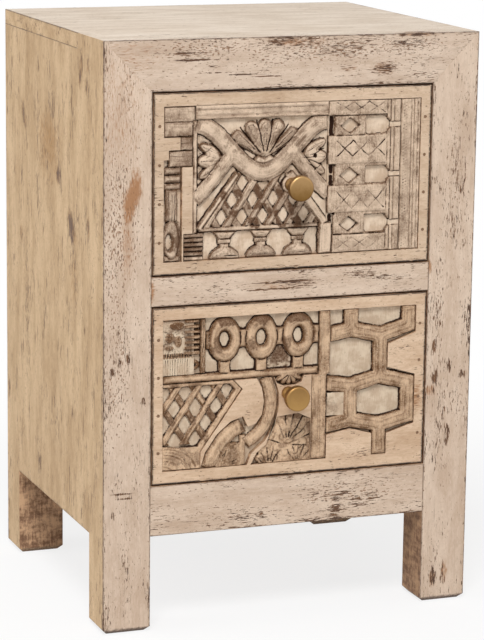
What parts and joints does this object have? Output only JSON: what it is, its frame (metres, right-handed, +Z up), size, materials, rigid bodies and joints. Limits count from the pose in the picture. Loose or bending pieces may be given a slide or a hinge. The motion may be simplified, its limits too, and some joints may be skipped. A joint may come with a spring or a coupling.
{
  "type": "carved nightstand",
  "caption": "Square-legged bedside table of whitewashed wood with sliding drawers, their fronts set with old carved pieces and round brass knobs.",
  "frame": {"origin": "on the floor, in the middle of the footprint including the knobs", "axes": "+X to the right seen from the front, +Y to the back, +Z up"},
  "size_m": [0.4, 0.38, 0.6],
  "materials": {
    "whitewashed_wood": "worn whitewash",
    "carved_wood": "old carved wood with worn wash",
    "raw_wood": "plain sawn wood",
    "brass": "satin",
    "steel": "dull"
  },
  "bodies": {
    "carcass": {"back_board": "raw_wood", "back_board_nails": "steel", "back_bottom_rail": "raw_wood", "back_left_leg": "whitewashed_wood", "back_right_leg": "whitewashed_wood", "back_top_rail": "raw_wood", "dust_board": "raw_wood", "front_bottom_rail": "whitewashed_wood", "front_left_leg": "whitewashed_wood", "front_middle_rail": "whitewashed_wood", "front_right_leg": "whitewashed_wood", "front_top_rail": "whitewashed_wood", "left_kicker": "raw_wood", "left_side_board": "whitewashed_wood", "lower_left_runner": "raw_wood", "lower_right_runner": "raw_wood", "lower_stop_blocks": "raw_wood", "right_kicker": "raw_wood", "right_side_board": "whitewashed_wood", "runner_screws": "steel", "top_board": "whitewashed_wood", "upper_left_runner": "raw_wood", "upper_right_runner": "raw_wood", "upper_stop_blocks": "raw_wood"},
    "upper_drawer": {"upper_column_piece": "carved_wood", "upper_crown_strip": "carved_wood", "upper_diamond_piece": "carved_wood", "upper_drawer_back": "raw_wood", "upper_drawer_bottom": "raw_wood", "upper_drawer_front": "whitewashed_wood", "upper_drawer_left_side": "raw_wood", "upper_drawer_right_side": "raw_wood", "upper_edge_strip": "carved_wood", "upper_front_nails": "steel", "upper_knob": "brass", "upper_knob_screw": "steel", "upper_knob_washer": "steel", "upper_ogee_piece": "carved_wood"},
    "lower_drawer": {"lower_drawer_back": "raw_wood", "lower_drawer_bottom": "raw_wood", "lower_drawer_front": "whitewashed_wood", "lower_drawer_left_side": "raw_wood", "lower_drawer_right_side": "raw_wood", "lower_flower_piece": "carved_wood", "lower_front_nails": "steel", "lower_honeycomb_piece": "carved_wood", "lower_hook_piece": "carved_wood", "lower_knob": "brass", "lower_knob_screw": "steel", "lower_knob_washer": "steel", "lower_ladder_piece": "carved_wood", "lower_lattice_piece": "carved_wood", "lower_post_piece": "carved_wood", "lower_ring_piece": "carved_wood"}
  },
  "joints": [
    {"name": "upper_drawer_slide", "type": "slide", "parent": "carcass", "child": "upper_drawer", "axis": [0, -1, 0], "range_m": [0, 0.22]},
    {"name": "lower_drawer_slide", "type": "slide", "parent": "carcass", "child": "lower_drawer", "axis": [0, -1, 0], "range_m": [0, 0.22]}
  ]
}
